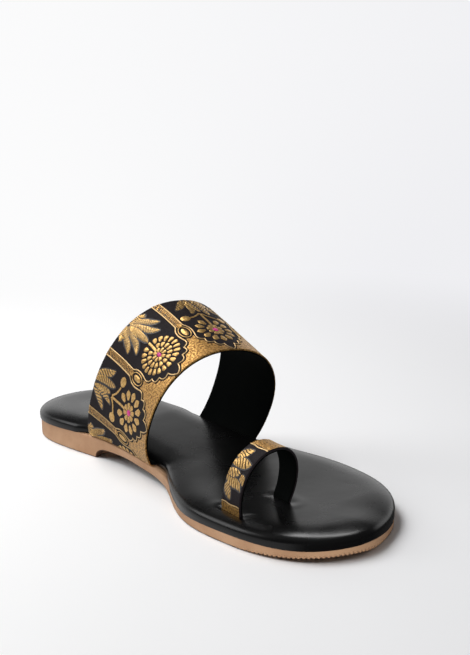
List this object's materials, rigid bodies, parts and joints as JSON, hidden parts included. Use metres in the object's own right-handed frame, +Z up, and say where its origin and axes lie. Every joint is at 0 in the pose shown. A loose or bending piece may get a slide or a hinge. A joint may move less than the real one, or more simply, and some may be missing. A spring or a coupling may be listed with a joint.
{
  "type": "toe-ring slide sandal",
  "caption": "Flat slide sandal for the left foot: padded footbed on a low-heeled rubber sole, wide brocade band over the instep and a narrow brocade ring for the big toe.",
  "frame": {"origin": "on the floor under the middle of the shoe's bounding box", "axes": "+Z up, toe towards -Y, heel towards +Y, big-toe (medial) side towards -X"},
  "size_m": [0.0932, 0.2504, 0.0897],
  "materials": {
    "tan_rubber": "matt moulded rubber in warm tan, finely ribbed along the lower edge of the forefoot",
    "black_leatherette": "black grained leatherette over foam, satin sheen",
    "brocade": "woven brocade, old-gold metallic thread figures on black, with small pink flower centres",
    "ring_brocade": "woven brocade, old-gold metallic thread leaves on black"
  },
  "bodies": {
    "root": {"outsole": "tan_rubber", "footbed": "black_leatherette", "instep_band": "brocade", "toe_ring": "ring_brocade"}
  },
  "joints": []
}
